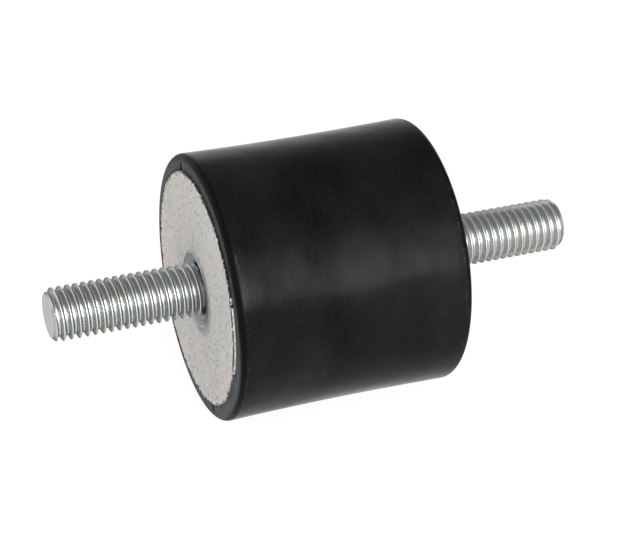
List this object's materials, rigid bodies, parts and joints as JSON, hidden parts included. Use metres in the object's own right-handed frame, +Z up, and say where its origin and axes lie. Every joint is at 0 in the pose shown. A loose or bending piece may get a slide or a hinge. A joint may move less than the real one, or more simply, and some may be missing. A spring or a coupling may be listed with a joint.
{
  "type": "bobbin vibration mount",
  "caption": "Rubber cylinder moulded round steel end plates, with a threaded stud standing out of each end, to keep a machine's vibration from what carries it.",
  "frame": {"origin": "middle of the rubber body, on the common axis and half way between the outer faces of the two plates", "axes": "+X along the common axis towards the right stud, +Z up with the mount lying on its side, +Y away from someone who has the left stud on the left"},
  "size_m": [0.101, 0.05, 0.05],
  "materials": {
    "rubber": "satin moulded black rubber",
    "plate_steel": "matt, blasted grey-white",
    "plated_steel": "bright zinc plate"
  },
  "bodies": {
    "root": {"rubber_body": "rubber", "left_plate": "plate_steel", "right_plate": "plate_steel", "left_stud": "plated_steel", "right_stud": "plated_steel"}
  },
  "joints": []
}
